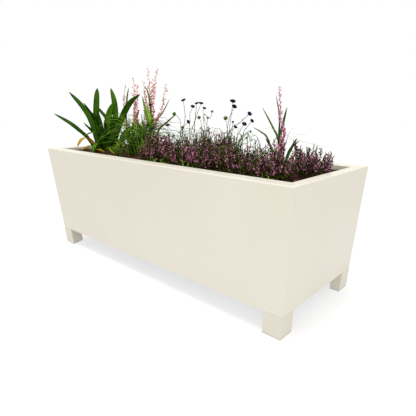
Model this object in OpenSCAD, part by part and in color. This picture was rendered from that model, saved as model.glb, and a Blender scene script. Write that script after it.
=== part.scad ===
// Raised planter on four short legs, folded and welded from sheet steel, planted up.
// Origin on the ground under the middle of the body, X along the length, -Y the front.

/* [Body] */
// Length of the body over the rim
top_length = 1200; // [700:10:1800]
// Width of the body over the rim
top_width = 430; // [320:5:700]
// Height of the rim above the ground
rim_height = 410; // [320:5:700]
// How far each end leans in between the rim and the ground
end_taper = 25; // [0:1:60]
// How far each long side leans in between the rim and the ground
side_taper = 12; // [0:1:40]
// Thickness of the folded sheet
sheet = 2; // [1:0.5:4]

/* [Rim] */
// Width of the flat rim along the two ends
end_rim = 35; // [20:1:70]
// Width of the flat rim along the two long sides
side_rim = 45; // [20:1:70]
// Depth of the turned-down inner lip of the rim
lip_drop = 30; // [12:1:60]

/* [Legs] */
// Height of the legs below the body
leg_height = 68; // [40:1:140]
// Width of a leg on the long side of the body
leg_width = 58; // [52:1:110]
// Width of a leg on its hidden inner side
leg_inner_width = 33; // [30:1:60]
// Depth of a leg along the end of the body
leg_depth = 55; // [50:1:110]
// Thickness of the plate across the top of a leg
leg_top_plate = 3; // [2:0.5:6]
// How far the plastic glide stands out below the steel leg
glide_proud = 1.5; // [0.5:0.5:5]
// Height of the plastic glide
glide_height = 12; // [6:1:30]

/* [Base] */
// Width of the flange turned in along the bottom of each wall
bottom_flange = 25; // [20:1:40]
// Height of the base plate above the bottom of the body
base_lift = 42; // [30:1:80]
// Thickness of the base plate
base_sheet = 2; // [1:0.5:4]
// Width of the ledge that carries the base plate
ledge_width = 20; // [12:1:30]
// Depth of the ledge where it is welded to the wall
ledge_depth = 18; // [10:1:24]
// Width of a stiffening channel under the base plate
channel_width = 50; // [30:1:80]
// Depth of a stiffening channel under the base plate
channel_depth = 20; // [10:1:24]

/* [Drainage] */
// Number of drain holes in a row along the base plate
drain_count = 4; // [2:1:5]
// Distance between drain holes
drain_pitch = 220; // [120:5:260]
// Diameter of a drain hole
drain_hole = 22; // [14:1:30]
// Wall of the plastic drain bush
bush_wall = 2; // [1.5:0.5:4]
// Width of the collar of the drain bush outside its hole
bush_collar = 6; // [3:1:10]
// Length of the drain bush below the base plate
bush_drop = 10; // [4:1:20]

/* [Bracing] */
// Height of the cross braces above the ground
brace_height = 240; // [180:2:260]
// Depth of a cross brace
brace_depth = 30; // [20:1:40]
// Thickness of a cross brace
brace_sheet = 4; // [2:0.5:6]
// Distance of a cross brace from the middle of the body
brace_offset = 190; // [100:5:300]

/* [Leg fixings] */
// Diameter of the bolts that hold the legs
bolt_size = 6; // [5:1:6]
// Thickness of the corner plate inside the body
corner_plate = 3; // [2:0.5:5]
// Length of the corner plate along each wall
corner_reach = 76; // [66:1:110]
// Distance of the bolts from the wall they stand beside
bolt_near = 14; // [13:1:16]
// Distance of the bolts from the other wall
bolt_far = 38; // [36:1:39]

/* [Fill] */
// Depth of the compost surface below the rim
soil_drop = 14; // [8:1:40]
// Depth of the clay pebbles on the base plate
pebble_depth = 35; // [20:1:60]
// Thickness of the filter fleece
fleece_sheet = 2; // [1:0.5:4]

/* [Plants] */
// Height of the strap-leaved plant
strap_height = 255; // [150:5:320]
// Height of the pink flower spikes
spike_height = 312; // [200:5:360]
// Height of the scabious
scabious_height = 210; // [150:5:260]
// Height of the heather
heather_height = 92; // [60:2:120]
// Height of the spiked grass at the right end
tuft_height = 240; // [150:5:300]

/* [Hidden] */

$fn = 48;

// Clearances between pieces that fit each other
fit_gap = 0.5;
bolt_gap = 0.3;
thread_gap = 0.1;
plant_gap = 0.5;

// Heights that the pieces share
body_floor = leg_height;
base_z = body_floor + base_lift;
pebble_z = base_z + base_sheet;
fleece_z = pebble_z + pebble_depth;
compost_z = fleece_z + fleece_sheet;
lip_z = rim_height - lip_drop;
soil_z = rim_height - soil_drop;

// Lean of the walls and half sizes of the body at a height
end_slope = end_taper / rim_height;
side_slope = side_taper / rim_height;
function half_length(z) = top_length / 2 - end_slope * (rim_height - z);
function half_width(z) = top_width / 2 - side_slope * (rim_height - z);

// Open bed inside the rim, and the heather that fills its share of it
bed_length = top_length - 2 * end_rim;
bed_width = top_width - 2 * side_rim;
heather_pitch = bed_length * 0.105;
heather_radius = min(heather_pitch, bed_width * 0.36) / 2 - plant_gap;

// Bolt sizes that follow from its diameter
head_across = bolt_size * 5 / 3;
head_height = bolt_size * 2 / 3;
nut_height = bolt_size * 5 / 6;
washer_across = bolt_size * 2;
washer_sheet = 1.6;
thread_end = 3;
gusset_z = body_floor + sheet;
washer_z = gusset_z + corner_plate;
head_z = washer_z + washer_sheet;
nut_z = body_floor - leg_top_plate - nut_height;

// Larger than the whole part, for half-spaces
big = 2 * (top_length + top_width + rim_height);

cream = [0.89, 0.87, 0.80];
steel = [0.70, 0.72, 0.73];
leaf = [0.16, 0.36, 0.10];

// ---------- shapes that the pieces share ----------

// Outline in X and Z drawn out along Y, and outline in Y and Z drawn out along X
module along_y(length) {
  rotate([90, 0, 0]) translate([0, 0, -length / 2]) linear_extrude(length) children();
}

module along_x(length) {
  rotate([90, 0, 90]) translate([0, 0, -length / 2]) linear_extrude(length) children();
}

// Block that fills the leaning body between two heights, set in from the outer faces
module tapered_block(inset, low, high) {
  intersection() {
    along_y(big) polygon([
      [-half_length(low) + inset, low], [half_length(low) - inset, low],
      [half_length(high) - inset, high], [-half_length(high) + inset, high]
    ]);
    along_x(big) polygon([
      [-half_width(low) + inset, low], [half_width(low) - inset, low],
      [half_width(high) - inset, high], [-half_width(high) + inset, high]
    ]);
  }
}

// Everything on the end's side of the mitre at one corner; the mitre holds the leaning corner
// line and the line from the outer to the inner corner of the rim
module end_side_of_mitre(left, back) {
  across = [side_rim, -end_rim, end_rim * side_slope - side_rim * end_slope];
  unit = across / norm(across);
  mirror([left ? 1 : 0, 0, 0]) mirror([0, back ? 0 : 1, 0])
    translate([top_length / 2, top_width / 2, rim_height])
      rotate([0, -asin(unit[2]), atan2(unit[1], unit[0])])
        translate([0, -big / 2, -big / 2]) cube(big);
}

// Section of a wall with its rim, lip and bottom flange, as distance out and height
function wall_section(high, slope, rim) = let (
  out_at = function (z) high - slope * (rim_height - z)
) [
  [out_at(body_floor), body_floor], [high, rim_height],
  [high - rim, rim_height], [high - rim, lip_z],
  [high - rim + sheet, lip_z], [high - rim + sheet, rim_height - sheet],
  [out_at(rim_height - sheet) - sheet, rim_height - sheet],
  [out_at(body_floor + sheet) - sheet, body_floor + sheet],
  [out_at(body_floor) - bottom_flange, body_floor + sheet],
  [out_at(body_floor) - bottom_flange, body_floor]
];

// Section of a ledge angle against the inside of a wall
function ledge_section(high, slope) = let (
  inner_at = function (z) high - slope * (rim_height - z) - sheet
) [
  [inner_at(base_z - ledge_depth), base_z - ledge_depth], [inner_at(base_z), base_z],
  [inner_at(base_z) - ledge_width, base_z], [inner_at(base_z) - ledge_width, base_z - sheet],
  [inner_at(base_z - sheet) - sheet, base_z - sheet],
  [inner_at(base_z - ledge_depth) - sheet, base_z - ledge_depth]
];

// Places something made for the back right corner at any corner
module at_corner(left, back) {
  mirror([left ? 1 : 0, 0, 0]) mirror([0, back ? 0 : 1, 0]) children();
}

// Centres of the two bolts at a corner, from the back right corner of the body floor
module at_bolts(z) {
  corner = [half_length(body_floor), half_width(body_floor), z];
  translate(corner - [bolt_far, bolt_near, 0]) children();
  translate(corner - [bolt_near, bolt_far, 0]) children();
}

module at_all_bolts(z) {
  for (left = [false, true], back = [false, true]) at_corner(left, back) at_bolts(z) children();
}

module bolt_holes() {
  at_all_bolts(body_floor - leg_top_plate - fit_gap)
    cylinder(d = bolt_size + 2 * bolt_gap, h = leg_top_plate + sheet + corner_plate + 2 * fit_gap);
}

// ---------- folded panels ----------

module side_panel(back) {
  color(cream) difference() {
    mirror([0, back ? 0 : 1, 0])
      along_x(big) polygon(wall_section(top_width / 2, side_slope, side_rim));
    for (left = [false, true]) end_side_of_mitre(left, back);
    bolt_holes();
  }
}

module end_panel(left) {
  color(cream) difference() {
    intersection() {
      mirror([left ? 1 : 0, 0, 0])
        along_y(big) polygon(wall_section(top_length / 2, end_slope, end_rim));
      end_side_of_mitre(left, false);
      end_side_of_mitre(left, true);
    }
    bolt_holes();
  }
}

// ---------- base ----------

module side_ledge(back) {
  color(steel) intersection() {
    mirror([0, back ? 0 : 1, 0]) along_x(big) polygon(ledge_section(top_width / 2, side_slope));
    tapered_block(sheet, base_z - ledge_depth, base_z);
  }
}

module end_ledge(left) {
  color(steel) mirror([left ? 1 : 0, 0, 0])
    along_y(2 * (half_width(base_z - ledge_depth) - sheet - ledge_width - fit_gap))
      polygon(ledge_section(top_length / 2, end_slope));
}

function drain_x(i) = drain_pitch * (i - (drain_count - 1) / 2);

module base_plate() {
  color(steel) difference() {
    tapered_block(sheet + fit_gap, base_z, base_z + base_sheet);
    for (i = [0:drain_count - 1])
      translate([drain_x(i), 0, base_z - fit_gap])
        cylinder(d = drain_hole, h = base_sheet + 2 * fit_gap);
  }
}

module base_channel(place) {
  width = 2 * (half_width(base_z - ledge_depth) - sheet - ledge_width - fit_gap);
  color(steel) translate([place * drain_pitch, 0, 0]) along_y(width) polygon([
    [-channel_width / 2, base_z - channel_depth], [-channel_width / 2, base_z],
    [channel_width / 2, base_z], [channel_width / 2, base_z - channel_depth],
    [channel_width / 2 - sheet, base_z - channel_depth],
    [channel_width / 2 - sheet, base_z - sheet],
    [-channel_width / 2 + sheet, base_z - sheet],
    [-channel_width / 2 + sheet, base_z - channel_depth]
  ]);
}

module brace_block(place, inset) {
  intersection() {
    tapered_block(inset, brace_height, brace_height + brace_depth);
    translate([place * brace_offset - brace_sheet / 2, -big / 2, brace_height])
      cube([brace_sheet, big, brace_depth]);
  }
}

module cross_brace(place) {
  color(steel) brace_block(place, sheet);
}

module drain_bushes() {
  bush_across = drain_hole - 2 * bolt_gap;
  color([0.12, 0.12, 0.12]) for (i = [0:drain_count - 1]) translate([drain_x(i), 0, 0])
    difference() {
      union() {
        translate([0, 0, pebble_z]) cylinder(d = drain_hole + 2 * bush_collar, h = bush_wall);
        translate([0, 0, base_z - bush_drop])
          cylinder(d = bush_across, h = bush_drop + base_sheet + bush_wall);
      }
      translate([0, 0, base_z - bush_drop - fit_gap])
        cylinder(d = bush_across - 2 * bush_wall, h = bush_drop + base_sheet + bush_wall + 2 * fit_gap);
    }
}

// ---------- legs and their fixings ----------

// Plan of a leg from its outer corner, set in by a wall; its inner side is slanted
module leg_plan(inset) {
  slant = atan((leg_width - leg_inner_width) / leg_depth);
  shift = inset / cos(slant);
  deep = leg_depth - inset;
  wide = leg_width - shift;
  polygon([
    [leg_depth, leg_depth], [-wide, leg_depth], [-wide, 0],
    [-wide + deep * tan(slant), -deep], [leg_depth, -deep]
  ]);
}

// Leg-shaped block at the back right corner, leaning with the body and flush with its walls
module leg_block(inset, low, high) {
  intersection() {
    tapered_block(inset, low, high);
    translate([half_length(0), half_width(0), 0])
      rotate([-atan(side_slope), atan(end_slope), 0])
        translate([0, 0, -leg_height]) linear_extrude(3 * leg_height) leg_plan(inset);
  }
}

module leg(left, back) {
  color(cream) difference() {
    at_corner(left, back) difference() {
      leg_block(0, glide_proud, body_floor);
      leg_block(sheet, 0, body_floor - leg_top_plate);
    }
    bolt_holes();
  }
}

// Push-in foot: a plug inside the leg and a thin sole that the leg's edges stand on
module glide(left, back) {
  color([0.25, 0.25, 0.25]) at_corner(left, back) union() {
    leg_block(0, 0, glide_proud);
    leg_block(sheet + bolt_gap, 0, glide_height);
  }
}

module corner_plate(left, back) {
  color(steel) difference() {
    at_corner(left, back) intersection() {
      tapered_block(sheet, gusset_z, gusset_z + corner_plate);
      translate([half_length(gusset_z), half_width(gusset_z), gusset_z])
        linear_extrude(corner_plate) polygon([
          [0, 0], [-corner_reach, 0], [-corner_reach, -bottom_flange],
          [-bottom_flange, -corner_reach], [0, -corner_reach]
        ]);
    }
    bolt_holes();
  }
}

module leg_bolts() {
  reach = head_z - nut_z + thread_end;
  color(steel) at_all_bolts(nut_z - thread_end) union() {
    cylinder(d = bolt_size, h = reach);
    translate([0, 0, reach]) cylinder(d = head_across, h = head_height, $fn = 6);
  }
}

module leg_washers() {
  color(steel) at_all_bolts(washer_z) difference() {
    cylinder(d = washer_across, h = washer_sheet);
    translate([0, 0, -fit_gap])
      cylinder(d = bolt_size + 2 * thread_gap, h = washer_sheet + 2 * fit_gap);
  }
}

module leg_nuts() {
  color(steel) at_all_bolts(nut_z) difference() {
    cylinder(d = head_across, h = nut_height, $fn = 6);
    translate([0, 0, -fit_gap])
      cylinder(d = bolt_size + 2 * thread_gap, h = nut_height + 2 * fit_gap);
  }
}

// ---------- fill ----------

module clay_pebbles() {
  color([0.62, 0.36, 0.22]) difference() {
    tapered_block(sheet, pebble_z, fleece_z);
    for (i = [0:drain_count - 1])
      translate([drain_x(i), 0, pebble_z])
        cylinder(d = drain_hole + 2 * bush_collar, h = 2 * bush_wall, center = true);
  }
}

module filter_fleece() {
  color([0.85, 0.85, 0.83]) tapered_block(sheet, fleece_z, compost_z);
}

module compost() {
  color([0.13, 0.08, 0.05]) difference() {
    union() {
      tapered_block(sheet, compost_z, lip_z);
      translate([-bed_length / 2, -bed_width / 2, lip_z - fit_gap])
        cube([bed_length, bed_width, soil_z - lip_z + fit_gap]);
    }
    for (place = [-1, 1]) brace_block(place, 0);
  }
}

// ---------- plants ----------

// Places something on the compost at a share of the bed from its middle, so it follows the body
module planted(along, across) {
  translate([along * bed_length / 2, across * bed_width / 2, soil_z]) children();
}

// Pointed leaf or blade: stands up, leans by an angle towards a direction
module blade(length, width, thick, lean, towards) {
  rotate([0, 0, towards]) rotate([0, lean, 0]) rotate([0, 0, 90]) rotate([90, 0, 0])
    translate([0, 0, -thick / 2]) linear_extrude(thick) polygon([
      [-width * 0.3, 0], [width * 0.3, 0], [width / 2, length * 0.45],
      [width * 0.35, length * 0.8], [0, length], [-width * 0.35, length * 0.8],
      [-width / 2, length * 0.45]
    ]);
}

// Keeps the foot of a leaning plant on the compost
module above_compost(height) {
  intersection() {
    children();
    translate([-height, -height, 0]) cube([2 * height, 2 * height, height]);
  }
}

module strap_leaf_plant() {
  foot = 22;
  color(leaf) planted(-0.89, 0.03) above_compost(strap_height) union() {
    cylinder(r1 = foot, r2 = foot * 0.7, h = strap_height * 0.12);
    for (i = [0:7])
      translate([foot * 0.4 * cos(45 * i), foot * 0.4 * sin(45 * i), 0])
        blade(strap_height * (0.8 + 0.18 * (i % 2)), 22, 3, 6 + 5 * (i % 3), 45 * i + 20);
  }
}

module fine_grass() {
  foot = 34;
  color([0.27, 0.45, 0.16]) planted(-0.56, -0.18) above_compost(150) union() {
    cylinder(r1 = foot, r2 = foot * 0.8, h = 30);
    for (i = [0:11])
      translate([foot * 0.5 * cos(30 * i), foot * 0.5 * sin(30 * i), 0])
        blade(120 + 25 * (i % 2), 8, 3, 10 + 6 * (i % 3), 30 * i);
  }
}

module pink_spikes() {
  foot = 30;
  color([0.85, 0.58, 0.58]) planted(-0.36, 0.32) above_compost(spike_height) union() {
    cylinder(r1 = foot, r2 = foot * 0.6, h = 40);
    for (i = [0:6]) rotate([0, 0, 51 * i]) translate([foot * 0.45, 0, 0])
      rotate([0, 2 + (i % 3), 0]) {
        cylinder(r = 2, h = spike_height * 0.62);
        translate([0, 0, spike_height * 0.55])
          cylinder(r1 = 7, r2 = 2, h = spike_height * (0.45 - 0.05 * (i % 3)));
      }
  }
}

module scabious(along, across, turn) {
  foot = 14;
  color([0.16, 0.12, 0.22]) planted(along, across) above_compost(scabious_height) union() {
    cylinder(r1 = foot, r2 = foot * 0.7, h = 40);
    for (i = [0:5]) rotate([0, 0, 60 * i + turn]) translate([foot * 0.4, 0, 0])
      rotate([0, 2 + 3 * (i % 3), 0]) {
        cylinder(r = 1.5, h = scabious_height * (0.93 - 0.1 * (i % 3)));
        translate([0, 0, scabious_height * (0.93 - 0.1 * (i % 3))]) cylinder(r = 6, h = 5);
      }
  }
}

module spiked_grass() {
  foot = 20;
  color([0.30, 0.42, 0.20]) planted(0.68, 0.42) above_compost(tuft_height) union() {
    cylinder(r1 = foot, r2 = foot * 0.7, h = 30);
    cylinder(r1 = 5, r2 = 3, h = tuft_height);
    for (i = [0:6])
      translate([foot * 0.4 * cos(51 * i), foot * 0.4 * sin(51 * i), 0])
        blade(tuft_height * (0.6 + 0.12 * (i % 3)), 9, 3, 8 + 5 * (i % 2), 51 * i);
  }
}

// Place along the bed of a heather in the front row, as a share from its middle
function heather_row(i) = 0.81 - (6 - i) * 2 * heather_pitch / bed_length;

// Rounded bush on the compost
module heather(along, across) {
  color([0.55, 0.30, 0.45]) planted(along, across) rotate_extrude() polygon([
    [0, 0], [heather_radius * 0.62, 0], [heather_radius * 0.9, heather_height * 0.3],
    [heather_radius, heather_height * 0.55], [heather_radius * 0.85, heather_height * 0.85],
    [heather_radius * 0.4, heather_height], [0, heather_height]
  ]);
}

side_panel(false);  // front_panel
side_panel(true);  // back_panel
end_panel(true);  // left_end_panel
end_panel(false);  // right_end_panel
side_ledge(false);  // front_ledge
side_ledge(true);  // back_ledge
end_ledge(true);  // left_ledge
end_ledge(false);  // right_ledge
base_plate();
base_channel(-1);  // base_channel_left
base_channel(0);  // base_channel_middle
base_channel(1);  // base_channel_right
cross_brace(-1);  // cross_brace_left
cross_brace(1);  // cross_brace_right
leg(true, false);  // leg_front_left
leg(false, false);  // leg_front_right
leg(true, true);  // leg_back_left
leg(false, true);  // leg_back_right
corner_plate(true, false);  // corner_plate_front_left
corner_plate(false, false);  // corner_plate_front_right
corner_plate(true, true);  // corner_plate_back_left
corner_plate(false, true);  // corner_plate_back_right
leg_bolts();
leg_washers();
leg_nuts();
glide(true, false);  // glide_front_left
glide(false, false);  // glide_front_right
glide(true, true);  // glide_back_left
glide(false, true);  // glide_back_right
drain_bushes();
clay_pebbles();
filter_fleece();
compost();
strap_leaf_plant();
fine_grass();
pink_spikes();
scabious(0.1, -0.02, 10);  // scabious_left
scabious(0.47, 0.1, 35);  // scabious_right
spiked_grass();
heather(heather_row(1), -0.6);  // heather_1
heather(heather_row(2), -0.6);  // heather_2
heather(heather_row(3), -0.6);  // heather_3
heather(heather_row(4), -0.6);  // heather_4
heather(heather_row(5), -0.6);  // heather_5
heather(heather_row(6), -0.6);  // heather_6
heather(0.19, 0.55);  // heather_7
heather(0.88, 0.2);  // heather_8
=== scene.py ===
import math
import random

import bpy
from mathutils import Matrix, Vector, noise


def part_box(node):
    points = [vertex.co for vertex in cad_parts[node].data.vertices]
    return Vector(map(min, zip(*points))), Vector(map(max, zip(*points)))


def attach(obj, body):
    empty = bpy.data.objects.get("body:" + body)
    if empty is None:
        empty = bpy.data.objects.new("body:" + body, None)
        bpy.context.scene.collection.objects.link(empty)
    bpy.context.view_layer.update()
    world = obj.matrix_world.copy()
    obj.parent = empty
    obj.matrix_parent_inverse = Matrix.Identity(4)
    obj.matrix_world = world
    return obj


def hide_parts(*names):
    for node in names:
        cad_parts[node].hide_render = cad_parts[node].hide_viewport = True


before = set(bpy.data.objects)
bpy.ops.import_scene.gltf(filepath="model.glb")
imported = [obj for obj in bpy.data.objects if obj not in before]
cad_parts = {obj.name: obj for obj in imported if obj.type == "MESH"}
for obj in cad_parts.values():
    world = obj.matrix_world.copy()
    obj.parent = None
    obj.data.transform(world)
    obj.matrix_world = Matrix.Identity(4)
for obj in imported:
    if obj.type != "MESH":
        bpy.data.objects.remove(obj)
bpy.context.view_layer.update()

# --------------------
# The place it stands in: a plain pale floor with a little glow of its own, a low camera off the
# near right corner, a soft light overhead, one on that corner and a faint one on the right end.
CAMERA_AT = Vector((0.99737, -0.87761, 0.56583))
CAMERA_YAW, CAMERA_DOWN, CAMERA_ROLL = 39.02, 18.58, 0.6
CAMERA_LENS, SENSOR_WIDTH = 30.92, 36.0
CAMERA_SHIFT = (-0.0865, 0.0551)
FLOOR_HALF = 14.0
FLOOR_GREY = (0.46, 0.46, 0.46, 1)
FLOOR_GLOW = 0.56
WHITE = (1, 1, 1, 1)


def in_scene(name, data):
    """A new object at the origin, linked into the scene."""
    made = bpy.data.objects.new(name, data)
    bpy.context.scene.collection.objects.link(made)
    return made


def new_piece(name, vertices, faces, material=None, edges=()):
    """A smooth mesh object, with its place in its mesh and its faces pointing outwards."""
    mesh = bpy.data.meshes.new(name)
    mesh.from_pydata(vertices, list(edges), faces)
    if material:
        mesh.materials.append(material)
    mesh.validate()
    mesh.update()
    mesh.shade_smooth()
    return in_scene(name, mesh)


def plain_material(name, roughness, metallic=0.0, specular=0.5):
    """A node material and its Principled shader, ready for a pattern."""
    material = bpy.data.materials.new(name)
    material.use_nodes = True
    shader = material.node_tree.nodes["Principled BSDF"]
    shader.inputs["Roughness"].default_value = roughness
    shader.inputs["Metallic"].default_value = metallic
    shader.inputs["Specular IOR Level"].default_value = specular
    return material, shader


def soft_light(name, place, aim, size, watts):
    """A square area light at one place, turned towards another."""
    lamp = in_scene(name, bpy.data.lights.new(name, "AREA"))
    lamp.data.shape = "SQUARE"
    lamp.data.size = size
    lamp.data.energy = watts
    lamp.location = place
    lamp.rotation_mode = "QUATERNION"
    lamp.rotation_quaternion = (Vector(aim) - Vector(place)).to_track_quat("-Z", "Y")


camera = in_scene("camera", bpy.data.cameras.new("camera"))
camera.data.sensor_width = SENSOR_WIDTH
camera.data.lens = CAMERA_LENS
camera.data.shift_x, camera.data.shift_y = CAMERA_SHIFT
camera.matrix_world = Matrix.Translation(CAMERA_AT)
for degrees, axis in ((CAMERA_YAW, "Z"), (90 - CAMERA_DOWN, "X"), (CAMERA_ROLL, "Z")):
    camera.matrix_world = camera.matrix_world @ Matrix.Rotation(math.radians(degrees), 4, axis)
bpy.context.scene.camera = camera
bpy.context.scene.view_settings.view_transform = "Standard"

floor_finish, shader = plain_material("floor_paper", 0.9, specular=0.0)
shader.inputs["Base Color"].default_value = FLOOR_GREY
shader.inputs["Emission Color"].default_value = WHITE
shader.inputs["Emission Strength"].default_value = FLOOR_GLOW
floor_corners = [(x * FLOOR_HALF, y * FLOOR_HALF, 0) for x, y in ((-1, -1), (1, -1), (1, 1), (-1, 1))]
new_piece("floor", floor_corners, [(0, 1, 2, 3)], floor_finish)

world = bpy.data.worlds.new("studio")
world.use_nodes = True
world.node_tree.nodes["Background"].inputs["Color"].default_value = WHITE
world.node_tree.nodes["Background"].inputs["Strength"].default_value = 1.0
bpy.context.scene.world = world
soft_light("overhead", (0.1, -0.4, 2.7), (0.0, 0.0, 0.3), 1.2, 40)
soft_light("corner_key", (2.3, -2.2, 1.0), (0.5, -0.1, 0.25), 0.8, 10)
soft_light("end_fill", (3.0, -0.6, 1.2), (0.5, 0.0, 0.3), 1.6, 3)

# --------------------
# Four wall panels: galvanised sheet folded to wall, flat rim, turned-down lip and bottom flange,
# mitred at the corners, welded, ground to a small radius and powder coated in one cream skin.
SHEET = 0.002
FOLD_RADIUS, FOLD_STEPS = 0.003, 4
BOTTOM_RADIUS, INNER_BEND = 0.001, 0.0002
CORNER_RADIUS, INNER_CORNER_RADIUS, CORNER_STEPS = 0.0035, 0.0012, 4
BOTTOM_FLANGE = 0.025
END_RIM = 0.035
LIP_DROP = 0.03
GUARD = 0.0008
SHARP_ANGLE = 40
RAMP_STOPS = (0.32, 0.68)
PANELS = ("front_panel", "right_end_panel", "back_panel", "left_end_panel")

front_low, front_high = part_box("front_panel")
rim_z, body_floor = front_high.z, front_low.z
rim_half = front_high.x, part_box("right_end_panel")[1].y
rim_wide = END_RIM, front_high.y - front_low.y
leg_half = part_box("leg_back_right")[1]
lean = tuple((rim_half[k] - leg_half[k]) / (rim_z - body_floor) for k in (0, 1))


def stands_for(piece, node):
    """Hides the CAD node a piece stands for, and puts the piece in the body, standing still."""
    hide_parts(node)
    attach(piece, "root")


def arc(centre, radius, start, end, steps):
    """Points of an arc between two angles in degrees."""
    angles = [math.radians(start + (end - start) * i / steps) for i in range(steps + 1)]
    return [(centre[0] + radius * math.cos(a), centre[1] + radius * math.sin(a)) for a in angles]


def wall_profile(rim):
    """The folded section: outer skin from the bottom flange to the lip, then the inner skin back.
    Each point is distance in, height, and whether it leans with the wall."""
    rows = []
    for side in (1, -1):
        skin = 0 if side == 1 else SHEET
        radius = FOLD_RADIUS - skin
        bend = BOTTOM_RADIUS if side == 1 else SHEET + INNER_BEND
        low, high = body_floor + bend, rim_z - FOLD_RADIUS
        part = [(BOTTOM_FLANGE, body_floor + skin, 1), (bend + GUARD, body_floor + skin, 1)]
        part += [(d, z, 1) for d, z in arc((bend, low), bend - skin, 270, 180, FOLD_STEPS)]
        part += [(skin, low + GUARD, 1), (skin, high - GUARD, 1)]
        part += [(d, z, 1) for d, z in arc((FOLD_RADIUS, high), radius, 180, 90, FOLD_STEPS)]
        part += [(FOLD_RADIUS + GUARD, rim_z - skin, 0), (rim - FOLD_RADIUS - GUARD, rim_z - skin, 0)]
        part += [(d, z, 0) for d, z in arc((rim - FOLD_RADIUS, high), radius, 90, 0, FOLD_STEPS)]
        part += [(rim - skin, high - GUARD, 0), (rim - skin, rim_z - LIP_DROP, 0)]
        rows += part[::side]
    return rows


def rim_ring(end_in, side_in, radius, quarter):
    """Stretch of one panel round the body, from mid corner to mid corner, at given insets."""
    arcs = []
    for corner, start in (((quarter - 1) % 4, 45), (quarter, 0)):
        way_x, way_y = ((1, -1), (1, 1), (-1, 1), (-1, -1))[corner]
        centre = way_x * (rim_half[0] - end_in - radius), way_y * (rim_half[1] - side_in - radius)
        start += 90 * (corner - 1)
        arcs.append(arc(centre, radius, start, start + 45, CORNER_STEPS))
    first, second = Vector(arcs[0][-1]), Vector(arcs[1][0])
    step = (second - first).normalized() * GUARD
    return arcs[0] + [tuple(first + step), tuple(second - step)] + arcs[1]


def wall_panel(name, quarter, material):
    """One folded panel: its section swept from mitre to mitre, with both mitres closed."""
    rows = []
    for (end_in, z, leans), (side_in, _, _) in zip(wall_profile(rim_wide[0]), wall_profile(rim_wide[1])):
        radius = max(INNER_CORNER_RADIUS, CORNER_RADIUS - min(end_in, side_in))
        fall = (rim_z - z) * leans
        ring = rim_ring(end_in + lean[0] * fall, side_in + lean[1] * fall, radius, quarter)
        rows.append([(x, y, z) for x, y in ring])
    across, last = len(rows[0]), len(rows) - 1
    faces = []
    for i in range(len(rows)):
        a, b = i * across, (i + 1) % len(rows) * across
        faces += [(a + j, a + j + 1, b + j + 1, b + j) for j in range(across - 1)]
    faces.append(tuple(i * across for i in range(len(rows))))
    faces.append(tuple((last - i) * across + across - 1 for i in range(len(rows))))
    piece = new_piece(name, [point for row in rows for point in row], faces, material)
    piece.data.set_sharp_from_angle(angle=math.radians(SHARP_ANGLE))
    return piece


def add_node(tree, kind, sockets=(), **settings):
    """A new node with its settings, and its inputs fed from a socket or given a value."""
    node = tree.nodes.new(kind)
    for title, value in settings.items():
        setattr(node, title, value)
    for title, value in dict(sockets).items():
        if isinstance(value, bpy.types.NodeSocket):
            tree.links.new(value, node.inputs[title])
        else:
            node.inputs[title].default_value = value
    return node


def node_group(name, kind, given, made):
    """A node group with its named inputs and outputs, and the sockets at its two ends."""
    group = bpy.data.node_groups.new(name, kind + "NodeTree")
    for way, sockets in (("OUTPUT", made), ("INPUT", given)):
        for title, form in sockets:
            group.interface.new_socket(title, in_out=way, socket_type="NodeSocket" + form)
    return group, add_node(group, "NodeGroupInput").outputs, add_node(group, "NodeGroupOutput").inputs


def surface_grain_group():
    """Shared fine relief and slow tone change of a coated, cast or plated surface."""
    given = [("Grain Scale", "Float"), ("Cloud Scale", "Float")]
    made = [("Grain", "Float"), ("Cloud", "Float")]
    group, inputs, outputs = node_group("surface_grain", "Shader", given, made)
    spot = add_node(group, "ShaderNodeTexCoord").outputs["Object"]
    for title, detail in (("Grain", 2.0), ("Cloud", 4.0)):
        sockets = {"Vector": spot, "Scale": inputs[title + " Scale"], "Detail": detail}
        speckle = add_node(group, "ShaderNodeTexNoise", sockets)
        group.links.new(speckle.outputs["Fac"], outputs[title])
    return group


GRAIN = surface_grain_group()


def grained_material(name, scales, depth, tones, gloss, metallic=0.0, specular=0.5):
    """A finish with the shared grain: relief, slow colour change and, where gloss gives two
    values, gloss change."""
    material, shader = plain_material(name, gloss[0], metallic, specular)
    tree = material.node_tree
    sizes = {"Grain Scale": scales[0], "Cloud Scale": scales[1]}
    grain = add_node(tree, "ShaderNodeGroup", sizes, node_tree=GRAIN).outputs
    relief = {"Strength": 1.0, "Distance": depth, "Height": grain["Grain"]}
    bump = add_node(tree, "ShaderNodeBump", relief)
    tree.links.new(bump.outputs["Normal"], shader.inputs["Normal"])
    ramp = add_node(tree, "ShaderNodeValToRGB", {"Fac": grain["Cloud"]})
    for stop, position, tone in zip(ramp.color_ramp.elements, RAMP_STOPS, tones):
        stop.position = position
        stop.color = (*tone, 1)
    tree.links.new(ramp.outputs["Color"], shader.inputs["Base Color"])
    if len(gloss) == 2:
        range_of = {"Value": grain["Cloud"], "To Min": gloss[0], "To Max": gloss[1]}
        sheen = add_node(tree, "ShaderNodeMapRange", range_of)
        tree.links.new(sheen.outputs["Result"], shader.inputs["Roughness"])
    return material


cream_tones = (0.61, 0.574, 0.48), (0.64, 0.606, 0.516)
cream_coat = grained_material("cream_powder_coat", (1100.0, 2.2), 0.00005, cream_tones, (0.32, 0.42))
for quarter, node in enumerate(PANELS):
    stands_for(wall_panel("coated_" + node, quarter, cream_coat), node)

# --------------------
# Four legs: short folded box sections, widest on the long side of the body, welded shut, coated
# in the same cream as the body and bolted up under its floor with their outer faces flush with the
# walls. Their cream is painted a little darker than the body's, as painted shade for the lowest part.
CORNERS = ("front_left", "front_right", "back_left", "back_right")
JOIN_WITHIN = 0.00001
FLAT_WITHIN = 1
EDGE_WIDTH = 0.0003
EDGE_OVER = 30


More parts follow.
